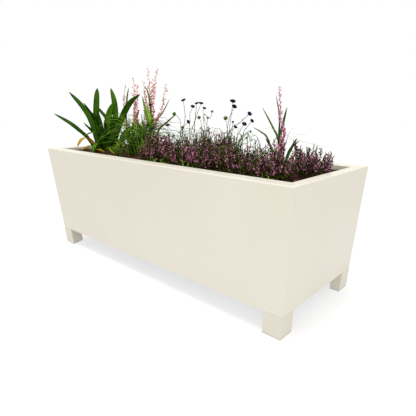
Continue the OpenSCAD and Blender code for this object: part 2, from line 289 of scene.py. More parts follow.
def keep_shape(piece):
    """Runs a piece's modifiers, keeps the plain mesh they make and takes them off."""
    shown = piece.evaluated_get(bpy.context.evaluated_depsgraph_get())
    finished = bpy.data.meshes.new_from_object(shown)
    piece.modifiers.clear()
    piece.data = finished


def give_finish(mesh, material):
    """Makes one finish the only finish of a mesh."""
    mesh.materials.clear()
    mesh.materials.append(material)


def softened_copy(node, name, material):
    """Copy of a CAD node with its loose triangles joined and its sharp edges slightly rounded."""
    piece = in_scene(name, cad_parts[node].data.copy())
    piece.modifiers.new("join", "WELD").merge_threshold = JOIN_WITHIN
    flat = piece.modifiers.new("flat", "DECIMATE")
    flat.decimate_type = "DISSOLVE"
    flat.angle_limit = math.radians(FLAT_WITHIN)
    edge = piece.modifiers.new("edge", "BEVEL")
    edge.width = EDGE_WIDTH
    edge.segments = 2
    edge.limit_method = "ANGLE"
    edge.angle_limit = math.radians(EDGE_OVER)
    edge.harden_normals = True
    keep_shape(piece)
    give_finish(piece.data, material)
    for face in piece.data.polygons:
        face.material_index = 0
    return piece


# Painted shade: the body's cream made a little darker, so the legs near the floor look less lit.
leg_painted_shade_tones = (0.585, 0.549, 0.452), (0.615, 0.579, 0.484)
leg_painted_shade_coat = grained_material("cream_leg_painted_shade_coat", (1100.0, 5.0), 0.00005, leg_painted_shade_tones, (0.36, 0.46))
for corner in CORNERS:
    leg = softened_copy("leg_" + corner, "coated_leg_" + corner, leg_painted_shade_coat)
    stands_for(leg, "leg_" + corner)

# --------------------
# Hidden steel inside the body: ledges, base plate, channels, cross braces and corner plates, cut
# from hot-dip galvanised sheet and left uncoated, so they show the zinc's grey spangle.
SPANGLE_SCALE = 90.0

sheet_tones = (0.48, 0.5, 0.52), (0.7, 0.72, 0.73)
galvanised = grained_material("galvanised_sheet", (400.0, 30.0), 0.00003, sheet_tones, (0.38, 0.55), 0.9)
tree = galvanised.node_tree
spot = add_node(tree, "ShaderNodeTexCoord").outputs["Object"]
spangle = add_node(tree, "ShaderNodeTexVoronoi", {"Vector": spot, "Scale": SPANGLE_SCALE})
tone = add_node(tree, "ShaderNodeRGBToBW", {"Color": spangle.outputs["Color"]})
tree.links.new(tone.outputs["Val"], tree.nodes["Color Ramp"].inputs["Fac"])
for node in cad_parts:
    if node.endswith("_ledge") or node.startswith(("base_", "cross_brace", "corner_plate")):
        give_finish(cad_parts[node].data, galvanised)

# --------------------
# Leg fixings: bright zinc plated hexagon bolts, washers and nuts, two sets to a leg, done up
# from inside the body before the base plate goes in.
zinc_tones = (0.6, 0.59, 0.54), (0.72, 0.72, 0.7)
zinc = grained_material("zinc_plate", (2500.0, 60.0), 0.00001, zinc_tones, (0.24, 0.4), 1.0)
for node in ("leg_bolts", "leg_washers", "leg_nuts"):
    give_finish(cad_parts[node].data, zinc)

# --------------------
# Plastic pieces: push-in feet moulded in grey polyethylene that keep the coated edges off the
# ground, and black bushes that line the drain holes.
foot_tones = (0.27, 0.26, 0.24), (0.33, 0.32, 0.3)
foot_plastic = grained_material("foot_plastic", (1600.0, 20.0), 0.00004, foot_tones, (0.5, 0.7))
bush_tones = (0.02, 0.02, 0.02), (0.045, 0.045, 0.045)
bush_plastic = grained_material("bush_plastic", (1600.0, 20.0), 0.00004, bush_tones, (0.5,))
give_finish(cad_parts["drain_bushes"].data, bush_plastic)
for corner in CORNERS:
    foot = softened_copy("glide_" + corner, "moulded_glide_" + corner, foot_plastic)
    stands_for(foot, "glide_" + corner)

# --------------------
# Drainage layer: fired clay pebbles, rough brown balls of 12 to 16 mm, poured level on the base.
# They lie in jittered rows here, which fill the same space.
PEBBLE_SIZE = 0.0155
PEBBLE_PITCH = 1.12
PEBBLE_LAYERS = 2
PEBBLE_STIR = 0.001
PEBBLE_SEED = 5
LOOSE_TURN = 6.28

clay_tones = (0.2, 0.09, 0.05), (0.42, 0.22, 0.12)
pebble_clay = grained_material("pebble_clay", (700.0, 60.0), 0.0004, clay_tones, (0.9,))


def random_value(tree, least, most, seed):
    """Random number between two values, each a number or a socket."""
    limits = {2: least, 3: most, "Seed": seed}
    return add_node(tree, "FunctionNodeRandomValue", limits, data_type="FLOAT").outputs[1]


def worked(tree, operation, *values, **settings):
    """Result of one sum on numbers and sockets."""
    sockets = dict(enumerate(values))
    return add_node(tree, "ShaderNodeMath", sockets, operation=operation, **settings).outputs[0]


def turn_of(tree, tip, round_by):
    """A turn made of a tip over and a turn round."""
    angles = add_node(tree, "ShaderNodeCombineXYZ", {"X": tip, "Z": round_by})
    return add_node(tree, "FunctionNodeEulerToRotation", {0: angles.outputs[0]}).outputs[0]


def set_out(tree, piece, places, tone, finish):
    """Sets a piece out on points, each with its tone, makes them real and gives the finish."""
    info = add_node(tree, "GeometryNodeObjectInfo", {"Object": piece})
    places["Instance"] = info.outputs["Geometry"]
    stood = add_node(tree, "GeometryNodeInstanceOnPoints", places).outputs[0]
    store = add_node(
        tree,
        "GeometryNodeStoreNamedAttribute",
        {"Geometry": stood, "Name": "tone", "Value": tone},
        data_type="FLOAT",
        domain="INSTANCE",
    )
    real = add_node(tree, "GeometryNodeRealizeInstances", {0: store.outputs[0]}).outputs[0]
    return add_node(tree, "GeometryNodeSetMaterial", {"Geometry": real, "Material": finish}).outputs[0]


def apply_tree(piece, tree, values):
    """Runs a tree on a piece, with its inputs set first, and keeps the plain mesh."""
    changer = piece.modifiers.new("grown", "NODES")
    changer.node_group = tree
    for item in tree.interface.items_tree:
        if item.in_out == "INPUT" and item.name in values:
            changer[item.identifier] = values[item.name]
    keep_shape(piece)
    return piece


def scatter_tree():
    """Loose pieces on the points of a mesh, each turned and sized at random."""
    given = [("Geometry", "Geometry"), ("Piece", "Object"), ("Least", "Float"), ("Most", "Float")]
    given += [("Tip", "Float"), ("Finish", "Material")]
    tree, inputs, outputs = node_group("loose_scatter", "Geometry", given, [("Geometry", "Geometry")])
    tip = worked(tree, "MULTIPLY", random_value(tree, -1.0, 1.0, 1), inputs["Tip"])
    turned = turn_of(tree, tip, random_value(tree, 0.0, LOOSE_TURN, 3))
    size = random_value(tree, inputs["Least"], inputs["Most"], 4)
    places = {"Points": inputs["Geometry"], "Rotation": turned, "Scale": size}
    tone = random_value(tree, 0.0, 1.0, 5)
    tree.links.new(set_out(tree, inputs["Piece"], places, tone, inputs["Finish"]), outputs["Geometry"])
    return tree


SCATTER = scatter_tree()


def ringed(name, bottom, rings, top):
    """A closed mesh from a bottom point through rings of one length to a top point."""
    vertices = [bottom] + [point for ring in rings for point in ring] + [top]
    sides, last = len(rings[0]), len(vertices) - 1
    faces = []
    for j in range(sides):
        nxt = (j + 1) % sides
        faces += [(0, 1 + nxt, 1 + j), (last, last - sides + j, last - sides + nxt)]
        for low in range(1, last - sides, sides):
            faces.append((low + j, low + nxt, low + sides + nxt, low + sides + j))
    return new_piece(name, vertices, faces)


def lump(name, levels, sides, size, wobble, seed):
    """A closed lumpy ball, whose size is half of each of its three widths."""
    chance = random.Random(seed)
    rings = []
    for level in [math.pi * i / levels for i in range(1, levels)]:
        ring = []
        for angle in [2 * math.pi * j / sides for j in range(sides)]:
            reach = 1 + chance.uniform(-wobble, wobble)
            x = size[0] * math.sin(level) * math.cos(angle) * reach
            y = size[1] * math.sin(level) * math.sin(angle) * reach
            ring.append((x, y, -size[2] * math.cos(level) * reach))
        rings.append(ring)
    return ringed(name, (0, 0, -size[2]), rings, (0, 0, size[2]))


def scatter(name, points, piece, least, most, tip, finish):
    """Strews a loose piece over points and takes away the loose piece itself."""
    values = {"Piece": piece, "Least": least, "Most": most, "Tip": tip, "Finish": finish}
    made = apply_tree(new_piece(name, points, []), SCATTER, values)
    bpy.data.objects.remove(piece)
    return made


low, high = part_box("clay_pebbles")
chance = random.Random(PEBBLE_SEED)
across = int((high.x - low.x) / PEBBLE_SIZE / PEBBLE_PITCH)
deep = int((high.y - low.y) / PEBBLE_SIZE / PEBBLE_PITCH)
rise = (high.z - low.z - PEBBLE_SIZE * PEBBLE_PITCH) / (PEBBLE_LAYERS - 1)
beds = []
for layer in range(PEBBLE_LAYERS):
    z = low.z + PEBBLE_SIZE * PEBBLE_PITCH / 2 + layer * rise
    for i in range(across):
        for j in range(deep):
            x = low.x + (i + 0.5) * (high.x - low.x) / across + chance.uniform(-PEBBLE_STIR, PEBBLE_STIR)
            y = low.y + (j + 0.5) * (high.y - low.y) / deep + chance.uniform(-PEBBLE_STIR, PEBBLE_STIR)
            beds.append((x, y, z + chance.uniform(-PEBBLE_STIR / 2, PEBBLE_STIR / 2)))
pebble = lump("pebble", 5, 7, (PEBBLE_SIZE / 2,) * 3, 0.08, PEBBLE_SEED)
pebbles = scatter("clay_pebble_bed", beds, pebble, 0.85, 1.02, 1.5, pebble_clay)
stands_for(pebbles, "clay_pebbles")

# --------------------
# Filter fleece: one cut sheet of needled grey geotextile, laid on the pebbles to keep the
# compost out of them, following their tops a little.
FLEECE_COLUMNS, FLEECE_ROWS = 120, 44
FLEECE_THICK = 0.0012
FLEECE_BUMPS = 60

fleece_tones = (0.36, 0.36, 0.35), (0.5, 0.5, 0.48)
fleece_felt = grained_material("fleece_felt", (1500.0, 150.0), 0.0003, fleece_tones, (0.95,))


def grid_points(low, high, columns, rows):
    """Points row by row between two corners."""
    xs = [low[0] + (high[0] - low[0]) * i / columns for i in range(columns + 1)]
    ys = [low[1] + (high[1] - low[1]) * j / rows for j in range(rows + 1)]
    return [(x, y) for y in ys for x in xs]


def grid_faces(start, columns, rows, side=1):
    """Faces of such points from a first one on, which look up, or down with a side of -1."""
    wide = columns + 1
    corners = [start + j * wide + i for j in range(rows) for i in range(columns)]
    return [(a, a + 1, a + wide + 1, a + wide)[::side] for a in corners]


def grid_rim(start, columns, rows):
    """Places of the outermost of such points, once round."""
    wide = columns + 1
    rim = list(range(columns)) + [j * wide + columns for j in range(rows)]
    rim += [rows * wide + i for i in range(columns, 0, -1)] + [j * wide for j in range(rows, 0, -1)]
    return [start + k for k in rim]


def band(lower, upper):
    """Faces that join two loops of points of one length."""
    return [(lower[k - 1], lower[k], upper[k], upper[k - 1]) for k in range(len(lower))]


def laid_sheet(name, low, high, columns, rows, thick, material):
    """A thin closed sheet between two corners, gently uneven over the height it has."""
    rise = high.z - low.z - thick
    vertices = []
    for skin in (0, thick):
        for x, y in grid_points(low, high, columns, rows):
            bump = rise * (0.5 + 0.5 * noise.noise(Vector((x, y, 0)) * FLEECE_BUMPS))
            vertices.append((x, y, low.z + bump + skin))
    half = len(vertices) // 2
    faces = grid_faces(0, columns, rows, -1) + grid_faces(half, columns, rows)
    faces += band(grid_rim(0, columns, rows), grid_rim(half, columns, rows))
    return new_piece(name, vertices, faces, material)


low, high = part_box("filter_fleece")
fleece = laid_sheet("fleece_sheet", low, high, FLEECE_COLUMNS, FLEECE_ROWS, FLEECE_THICK, fleece_felt)
stands_for(fleece, "filter_fleece")

# --------------------
# Compost: dark peaty potting mix that fills the body to just under the rim, with bark chips
# strewn on its uneven top, raked a little higher at the left end.
SOIL_COLUMNS, SOIL_ROWS = 150, 56
SOIL_RISE, SOIL_SLOPE = 0.0035, 0.004
SOIL_WAVES = ((14, 0.6), (55, 0.4), (140, 0.3))
SOIL_GAP = 0.0004
SOIL_EDGE = 0.006
CHIP_COUNT = 2600
CHIP_SIZE = (0.0055, 0.0028, 0.0012)
CHIP_MARGIN = 0.008
CHIP_LIFT = 0.0006
CHIP_SEED = 11

soil_tones = (0.01, 0.006, 0.004), (0.045, 0.022, 0.012)
compost_soil = grained_material("compost_soil", (260.0, 40.0), 0.003, soil_tones, (0.95,), specular=0.04)
low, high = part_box("compost")
soil_z = high.z


def soil_top(x, y):
    """Height of the uneven top of the compost."""
    rise = sum(share * noise.noise(Vector((x, y, 0.0)) * pace) for pace, share in SOIL_WAVES)
    return soil_z + SOIL_RISE * rise - SOIL_SLOPE * x


def soil_half(z):
    """Half length and half width of the space inside the walls at a height."""
    return [rim_half[k] - lean[k] * (rim_z - z) - SHEET - SOIL_GAP for k in (0, 1)]


vertices, faces, loops = [], [], []
for z in (low.z, (low.z + high.z) / 2, high.z - SOIL_EDGE):
    half_x, half_y = soil_half(z)
    spots = grid_points((-half_x, -half_y), (half_x, half_y), SOIL_COLUMNS, SOIL_ROWS)
    edge = [(*spots[k], z) for k in grid_rim(0, SOIL_COLUMNS, SOIL_ROWS)]
    loops.append(range(len(vertices), len(vertices) + len(edge)))
    vertices += edge
half_x, half_y = soil_half(high.z)
loops.append(grid_rim(len(vertices), SOIL_COLUMNS, SOIL_ROWS))
faces.append(tuple(loops[0])[::-1])
faces += grid_faces(len(vertices), SOIL_COLUMNS, SOIL_ROWS)
for lower, upper in zip(loops, loops[1:]):
    faces += band(lower, upper)
spots = grid_points((-half_x, -half_y), (half_x, half_y), SOIL_COLUMNS, SOIL_ROWS)
vertices += [(x, y, soil_top(x, y)) for x, y in spots]
stands_for(new_piece("compost_fill", vertices, faces, compost_soil), "compost")

bark_tones = (0.022, 0.011, 0.006), (0.105, 0.045, 0.022)
bark = grained_material("bark_chips", (900.0, 60.0), 0.0006, bark_tones, (0.85,), specular=0.08)
tone = add_node(bark.node_tree, "ShaderNodeAttribute", attribute_name="tone")
bark.node_tree.links.new(tone.outputs["Fac"], bark.node_tree.nodes["Color Ramp"].inputs["Fac"])
chance = random.Random(CHIP_SEED)
spots = []
for _ in range(CHIP_COUNT):
    x = chance.uniform(-half_x + CHIP_MARGIN, half_x - CHIP_MARGIN)
    y = chance.uniform(-half_y + CHIP_MARGIN, half_y - CHIP_MARGIN)
    spots.append((x, y, soil_top(x, y) + CHIP_LIFT))
chip = lump("chip", 4, 6, CHIP_SIZE, 0.28, CHIP_SEED)
stands_for(scatter("bark_chip_layer", spots, chip, 0.5, 1.5, 0.5, bark), "compost")

# --------------------
# Strap-leaved plant at the left end: two fans of fleshy keeled leaves up to 27 mm wide, dark
# green with a pale new leaf, thin side leaves and a few withered yellow ones over the rim.
MM = 0.001
BLADE_STEPS = 7
BLADE_SECTION = ((-1, 0), (-0.5, 0.5), (0, 0.5), (0.5, 0.5), (1, 0), (0.5, -0.5), (0, -0.5), (-0.5, -0.5))
BLADE_THICK, BLADE_THINS = 0.0007, 0.6
BLADE_WAIST, BLADE_SWELL = 0.55, 1.3
PLAIN_KEEL = 0.35
VEINS = 26.0
ROOT_DEPTH = 0.004
PLANT_SHINE = 0.05
OLD_YELLOW = (0.42, 0.25, 0.02)


def leaf_colour_group():
    """Shared leaf look: tone from leaf to leaf, withered above a tone of 1, and parallel veins."""
    given = [(title, "Color") for title in ("Deep", "Bright", "Withered")]
    made = [("Colour", "Color"), ("Vein", "Float")]
    group, inputs, outputs = node_group("leaf_colour", "Shader", given, made)
    tone = add_node(group, "ShaderNodeAttribute", attribute_name="tone").outputs["Fac"]
    across = add_node(group, "ShaderNodeAttribute", attribute_name="across").outputs["Fac"]
    spot = add_node(group, "ShaderNodeTexCoord").outputs["Object"]
    cloud = add_node(group, "ShaderNodeTexNoise", {"Vector": spot, "Scale": 45.0}).outputs["Fac"]
    drift = worked(group, "MULTIPLY_ADD", cloud, 0.5, -0.25)
    share = worked(group, "ADD", tone, drift, use_clamp=True)
    young = {"Factor": share, "A": inputs["Deep"], "B": inputs["Bright"]}
    fresh = add_node(group, "ShaderNodeMix", young, data_type="RGBA").outputs["Result"]
    age = add_node(group, "ShaderNodeMapRange", {"Value": tone, "From Min": 1.0, "From Max": 2.0})
    old = {"Factor": age.outputs["Result"], "A": fresh, "B": inputs["Withered"]}
    aged = add_node(group, "ShaderNodeMix", old, data_type="RGBA").outputs["Result"]
    vein = worked(group, "SINE", worked(group, "MULTIPLY", across, VEINS))
    limits = {"Value": vein, "From Min": -1.0, "To Min": 0.82, "To Max": 1.1}
    light = add_node(group, "ShaderNodeMapRange", limits).outputs["Result"]
    shade = add_node(group, "ShaderNodeHueSaturation", {"Value": light, "Color": aged})
    group.links.new(vein, outputs["Vein"])
    group.links.new(shade.outputs["Color"], outputs["Colour"])
    return group


LEAF_COLOUR = leaf_colour_group()


def plant_material(name, deep, bright, withered=OLD_YELLOW, roughness=0.5, glow=0.0):
    """A leaf, stem or petal finish made with the shared leaf colour."""
    material, shader = plain_material(name, roughness, specular=PLANT_SHINE)
    shader.inputs["Subsurface Weight"].default_value = glow
    shader.inputs["Subsurface Scale"].default_value = 0.002
    tree = material.node_tree
    colours = {"Deep": (*deep, 1), "Bright": (*bright, 1), "Withered": (*withered, 1)}
    leaf = add_node(tree, "ShaderNodeGroup", colours, node_tree=LEAF_COLOUR).outputs
    bump = add_node(tree, "ShaderNodeBump", {"Distance": 0.0002, "Height": leaf["Vein"]})
    tree.links.new(leaf["Colour"], shader.inputs["Base Color"])
    tree.links.new(bump.outputs["Normal"], shader.inputs["Normal"])
    return material


def path_through(points, steps):
    """A smooth line through a few points."""
    ends = [points[0] * 2 - points[1]] + points + [points[-1] * 2 - points[-2]]
    line = []
    for a, b, c, d in zip(ends, ends[1:], ends[2:], ends[3:]):
        for t in [step / steps for step in range(steps)]:
            bend = (a * 2 - b * 5 + c * 4 - d) * t**2 + (b * 3 - a - c * 3 + d) * t**3
            line.append((b * 2 + (c - a) * t + bend) * 0.5)
    return line + [points[-1]]


def path_from(root_at, offsets, steps):
    """A smooth line through offsets in mm from a root."""
    return path_through([root_at + Vector(offset) * MM for offset in offsets], steps)


def add_values(piece, values):
    """Stores lists of one number a point in a piece, each under its title."""
    for title, numbers in values.items():
        piece.data.attributes.new(title, "FLOAT", "POINT").data.foreach_set("value", numbers)


def leaf_blades(name, root_at, leaves, finish):
    """One mesh of closed keeled blades that taper to their tips. Each leaf gives its offsets from
    the root, half width, keel if it isn't the plain one, turn of its face, and tone."""
    vertices, faces, tones, acrosses = [], [], [], []
    for offsets, half, *keel, turn, tone in leaves:
        line = path_from(root_at, offsets, BLADE_STEPS)
        keel = keel[0] if keel else PLAIN_KEEL
        level = Vector((math.cos(math.radians(turn)), math.sin(math.radians(turn)), 0))
        rings = []
        for i, point in enumerate(line):
            along = i / (len(line) - 1)
            run = (line[min(i + 1, len(line) - 1)] - line[max(i - 1, 0)]).normalized()
            side = (level - run * level.dot(run)).normalized()
            face = side.cross(run)
            taper = max(0.02, 1 - along**4.6) ** 0.72
            width = half * MM * min(1, BLADE_WAIST + BLADE_SWELL * along) * taper
            body = BLADE_THICK * (1.0 - BLADE_THINS * along)
            rings.append(range(len(vertices), len(vertices) + len(BLADE_SECTION)))
            for across, skin in BLADE_SECTION:
                dip = -keel * width * (1 - abs(across) ** 1.5)
                vertices.append(point + side * (across * width) + face * (dip + skin * body))
                tones.append(tone)
                acrosses.append(across)
        for lower, upper in zip(rings, rings[1:]):
            faces += band(lower, upper)
        faces += [tuple(rings[0])[::-1], tuple(rings[-1])]
    piece = new_piece(name, vertices, faces, finish)
    add_values(piece, {"tone": tones, "across": acrosses})
    return piece


def root_of(node):
    """Where a plant stands: the middle of its CAD node, a little down in the compost."""
    low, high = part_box(node)
    return Vector(((low.x + high.x) / 2, (low.y + high.y) / 2, low.z - ROOT_DEPTH))


strap_yellow = (0.5, 0.28, 0.012)
strap_green = plant_material("strap_leaf_green", (0.004, 0.031, 0.001), (0.105, 0.27, 0.008), strap_yellow)
# Each leaf: offsets from the root and half width in mm, keel if not plain, turn of its face, tone.
STRAP_LEAVES = [
    (((0, -45, 0), (5, -65, 120), (-10, -90, 185), (-45, -120, 240)), 13.5, 0.3, 25, 0.32),
    (((10, -60, 0), (-10, -80, 55), (-20, -110, 90), (-45, -135, 120), (-95, -170, 155)), 9.5, 0.2, 39, 0.26),
    (((-5, -40, 0), (10, -45, 135), (40, -50, 215), (55, -50, 255)), 13, 0.28, 35, 0.4),
    (((50, 10, 0), (60, 15, 140), (55, 20, 205), (30, 25, 260)), 12.5, 0.3, 45, 0.32),
    (((30, -20, 0), (55, -25, 100), (95, -30, 165), (150, -30, 210)), 13, 0.34, 50, 0.8),
    (((50, 5, 0), (80, 0, 75), (150, 0, 160), (215, -5, 205), (275, -5, 230)), 12.5, 0.32, 45, 0.36),
    (((5, -20, 0), (15, -40, 120), (-5, -60, 160), (-15, -80, 200)), 8, 30, 0.12),
    (((30, 0, 0), (5, 10, 120), (-60, 20, 165), (-115, 20, 195)), 7.5, 30, 0.15),
    (((10, -30, 0), (-15, -45, 120), (-25, -55, 170)), 11, 30, 0.05),
    (((25, -30, 0), (35, -40, 90), (35, -50, 170)), 10.5, 40, 0.1),
    (((60, 0, 0), (85, -5, 85), (110, -15, 150)), 10, 50, 0.18),
    (((50, -20, 0), (65, -35, 70), (70, -45, 130)), 9.5, 45, 0.05),
    (((15, -20, 0), (-5, -50, 70), (-25, -85, 120)), 8.5, 25, 0.12),
    (((65, 15, 0), (90, 20, 60), (130, 30, 105)), 8, 50, 0.1),
    (((15, -60, 0), (20, -60, 75), (40, -100, 105), (40, -145, 110)), 2.5, 0.3, 60, 0.55),
    (((25, -30, 0), (80, -70, 75), (80, -110, 85), (65, -140, 70)), 3.5, 0.3, 60, 0.75),
    (((30, -50, 0), (15, -90, 55), (10, -120, 55), (10, -145, 25)), 8, 0.12, 39, 1.9),
    (((40, -50, 5), (15, -75, 25), (0, -100, 20), (-5, -120, 10)), 7.5, 0.12, 39, 1.8),
    (((60, -70, 5), (80, -100, 15), (120, -110, 20), (170, -115, 15)), 6.5, 0.15, 100, 1.75),
    (((90, -40, 5), (130, -70, 25), (190, -100, 20), (240, -110, 10)), 4, 0.25, 80, 1.6),
    (((85, -30, 5), (125, -40, 40), (170, -60, 50), (205, -70, 30)), 3.5, 0.25, 40, 1.6),
    (((55, -75, 0), (70, -90, 35), (80, -105, 30), (90, -125, 5)), 10, 60, 0.52),
    (((35, -5, 0), (50, 0, 90), (50, 5, 145)), 12, 35, 0.12),
    (((20, 10, 0), (30, 40, 90), (20, 70, 150)), 8, 30, 0.15),
    (((45, 0, 0), (70, 5, 70), (85, 20, 130)), 8, 50, 0.1),
    (((30, -10, 0), (35, -20, 80), (45, -25, 140)), 9, 35, 0.05),
    (((15, 0, 0), (-5, 10, 70), (-30, 30, 120)), 7, 30, 0.05),
    (((55, 20, 0), (75, 50, 70), (95, 90, 110)), 7, 60, 0.2),
    (((40, -30, 0), (55, -60, 60), (80, -85, 85)), 6, 60, 0.3),
    (((35, 20, 0), (20, 60, 60), (-5, 95, 85)), 7, 20, 0.2),
]
root_at = root_of("strap_leaf_plant")
strap = leaf_blades("strap_leaves", root_at, STRAP_LEAVES, strap_green)
stands_for(strap, "strap_leaf_plant")

# --------------------
# Fine grass: a loose tussock of thread-like blades that arch out on all sides, some down to the
# front rim, grown as lines that the growing tree below turns into tapered blades.
GRASS_SEED = 21
GRASS_BLADES = 190
GRASS_MIDDLES = ((15, 30), (45, 30), (90, 30), (105, 25), (125, 10))
GRASS_HEIGHT, GRASS_REACH, GRASS_HALF = (0.07, 0.205), (0.06, 0.18), (1.5, 2.6)
GRASS_SPREAD = (14, 12)
# Blades over the front rim: offset of their root in mm, and how far they reach.
RIM_TUFTS = (((40, -50), 0.06), ((80, -60), 0.05), ((110, -56), 0.055), ((60, -56), 0.07))
FULL_TURN = 6.283
SET_TITLES = ("Spacing", "From", "To", "Least", "Most", "Tip Share", "Tilt", "Sway")


def growth_tree():
    """Lines with a thickness become stems; leaves and flowers stand along a share of each."""
    given = [("Geometry", "Geometry"), ("Sides", "Int"), ("Stem Finish", "Material")]
    for kind in ("Leaf", "Flower"):
        given += [(kind, "Object"), (kind + " Finish", "Material")]
        given += [(kind + " " + title, "Float") for title in SET_TITLES]
    tree, inputs, outputs = node_group("growing_stems", "Geometry", given, [("Geometry", "Geometry")])
    link = tree.links.new
    line = add_node(tree, "GeometryNodeMeshToCurve", {"Mesh": inputs["Geometry"]}).outputs["Curve"]
    circle = {"Radius": 1.0, "Resolution": inputs["Sides"]}
    ring = add_node(tree, "GeometryNodeCurvePrimitiveCircle", circle).outputs["Curve"]
    half = add_node(tree, "GeometryNodeInputNamedAttribute", {"Name": "half"}, data_type="FLOAT")
    swept = {"Curve": line, "Profile Curve": ring, "Scale": half.outputs["Attribute"], "Fill Caps": True}
    tube = add_node(tree, "GeometryNodeCurveToMesh", swept).outputs["Mesh"]
    bare = {"Geometry": tube, "Material": inputs["Stem Finish"]}
    stems = add_node(tree, "GeometryNodeSetMaterial", bare).outputs[0]
    join = add_node(tree, "GeometryNodeJoinGeometry", {0: stems})
    for seed, kind in ((10, "Leaf"), (20, "Flower")):
        of = {title: inputs[kind + " " + title] for title in SET_TITLES + ("Finish",)}
        apart = {"Curve": line, "Length": of["Spacing"]}
        spaced = add_node(tree, "GeometryNodeResampleCurve", apart, mode="LENGTH").outputs["Curve"]
        along = add_node(tree, "GeometryNodeSplineParameter").outputs["Factor"]
        within = add_node(tree, "FunctionNodeBooleanMath")
        for k, (test, edge) in enumerate((("GREATER_EQUAL", "From"), ("LESS_EQUAL", "To"))):
            sides = {0: along, 1: of[edge]}
            tested = add_node(tree, "FunctionNodeCompare", sides, data_type="FLOAT", operation=test)
            link(tested.outputs[0], within.inputs[k])
        run = add_node(tree, "GeometryNodeInputTangent").outputs[0]
        aim = add_node(tree, "FunctionNodeAlignRotationToVector", {"Vector": run}, axis="Z").outputs[0]
        sway = random_value(tree, -1.0, 1.0, seed + 1)
        tip = worked(tree, "MULTIPLY_ADD", sway, of["Sway"], of["Tilt"])
        local = turn_of(tree, tip, random_value(tree, 0.0, FULL_TURN, seed + 2))
        turns = {"Rotation": aim, "Rotate By": local}
        turned = add_node(tree, "FunctionNodeRotateRotation", turns, rotation_space="LOCAL")
        shrunk = {"Value": along, "From Min": of["From"], "To Min": 1.0, "To Max": of["Tip Share"]}
        shrink = add_node(tree, "ShaderNodeMapRange", shrunk).outputs["Result"]
        size = worked(tree, "MULTIPLY", random_value(tree, of["Least"], of["Most"], seed + 3), shrink)
        places = {"Points": spaced, "Selection": within.outputs[0]}
        places |= {"Rotation": turned.outputs[0], "Scale": size}
        tone = random_value(tree, -0.35, 1.0, seed + 4)
        link(set_out(tree, inputs[kind], places, tone, of["Finish"]), join.inputs[0])
    link(join.outputs[0], outputs["Geometry"])
    return tree


GROWTH = growth_tree()


def grow(name, lines, stem_finish, sides=4, leaf=None, flower=None):
    """Grows lines of (points, half width at base, at tip, tone) into one plain mesh.
    Leaf and flower give: piece, finish, spacing, from, to, least, most, tip share, tilt, sway."""
    vertices, edges, halves, tones = [], [], [], []
    for points, base_half, tip_half, tone in lines:
        start = len(vertices)
        for i, point in enumerate(points):
            vertices.append(point)
            halves.append(base_half + (tip_half - base_half) * i / (len(points) - 1))
            tones.append(tone)
        edges += [(start + i, start + i + 1) for i in range(len(points) - 1)]
    made = new_piece(name, vertices, [], edges=edges)
    add_values(made, {"half": halves, "tone": tones})
    values = {"Sides": sides, "Stem Finish": stem_finish}
    for kind, given in (("Leaf", leaf), ("Flower", flower)):
        # Without a piece nothing is set out: its share of the line starts past the tip.
        values |= {kind + " Spacing": 1.0, kind + " From": 2.0, kind + " To": -1.0}
        if given:
            values |= {kind: given[0], kind + " Finish": given[1]}
            values |= {kind + " " + title: float(value) for title, value in zip(SET_TITLES, given[2:])}
    apply_tree(made, GROWTH, values)
    made.data.shade_smooth()
    return made


def arching(base, way, reach, height, droop, steps=6):
    """A blade that rises from its base, leans one way and droops towards its tip."""
    ahead = Vector((math.cos(way), math.sin(way), 0))
    line = []
    for t in [i / steps for i in range(steps + 1)]:
        rise = height * (1 - (1 - t) ** 1.7) - droop * t**3
        line.append(base + ahead * reach * (0.25 * t + 0.75 * t * t) + Vector((0, 0, rise)))
    return line


grass_green = plant_material("grass_green", (0.004, 0.026, 0.002), (0.18, 0.35, 0.03))
root_at = root_of("fine_grass")
chance = random.Random(GRASS_SEED)
tussock = []
for _ in range(GRASS_BLADES):
    middle = chance.choice(GRASS_MIDDLES)
    offset = [middle[k] + chance.gauss(0, GRASS_SPREAD[k]) for k in (0, 1)]
    base = root_at + Vector((*offset, 0)) * MM
    height = chance.uniform(*GRASS_HEIGHT)
    way = chance.uniform(0, FULL_TURN)
    droop = height * chance.uniform(0.1, 1.0)
    blade = arching(base, way, chance.uniform(*GRASS_REACH), height, droop)
    half = chance.uniform(*GRASS_HALF) * MM
    tussock.append((blade, half, 0.3 * MM, chance.uniform(-0.15, 1.0)))
for offset, reach in RIM_TUFTS:
    base = root_at + Vector((*offset, 0)) * MM
    for way in (-112, -90, -68):
        blade = arching(base, math.radians(way), reach, 0.055, 0.03)
        tussock.append((blade, 1.5 * MM, 0.2 * MM, 0.55))
stands_for(grow("fine_grass_blades", tussock, grass_green), "fine_grass")

# --------------------
# Pink flower spikes behind the grass: slender stems set with small salmon florets, loose at the
# top and close below, among upright sword leaves of a bright yellow green.
# Each spike gives its offsets from the root in mm, each sword leaf half width, turn and tone too.
SPIKES = [
    ((5, -10, 0), (-5, -15, 110), (5, -20, 200), (30, -25, 270), (50, -25, 310)),
    ((-10, -15, 0), (-20, -15, 130), (-20, -15, 210), (-5, -25, 280), (-5, -25, 315)),
    ((-20, -15, 0), (-35, -15, 140), (-45, -15, 210), (-55, -15, 275)),
    ((-5, -10, 0), (-20, -15, 130), (-10, -15, 210), (5, -15, 280)),
    ((15, -15, 0), (10, -15, 130), (50, -20, 170), (90, -25, 255)),
    ((-120, -15, 0), (-130, -15, 140), (-120, -15, 215), (-120, -15, 290)),
    ((-175, -15, 0), (-205, -15, 130), (-195, -15, 215), (-180, -15, 265)),
    ((-110, -15, 0), (-115, -15, 145), (-105, -15, 205), (-100, -15, 265)),
    ((-40, -15, 0), (-60, -15, 155), (-50, -15, 200), (-45, -15, 240)),
    ((-130, -10, 0), (-140, -10, 120), (-135, -10, 190), (-130, -15, 235)),
]
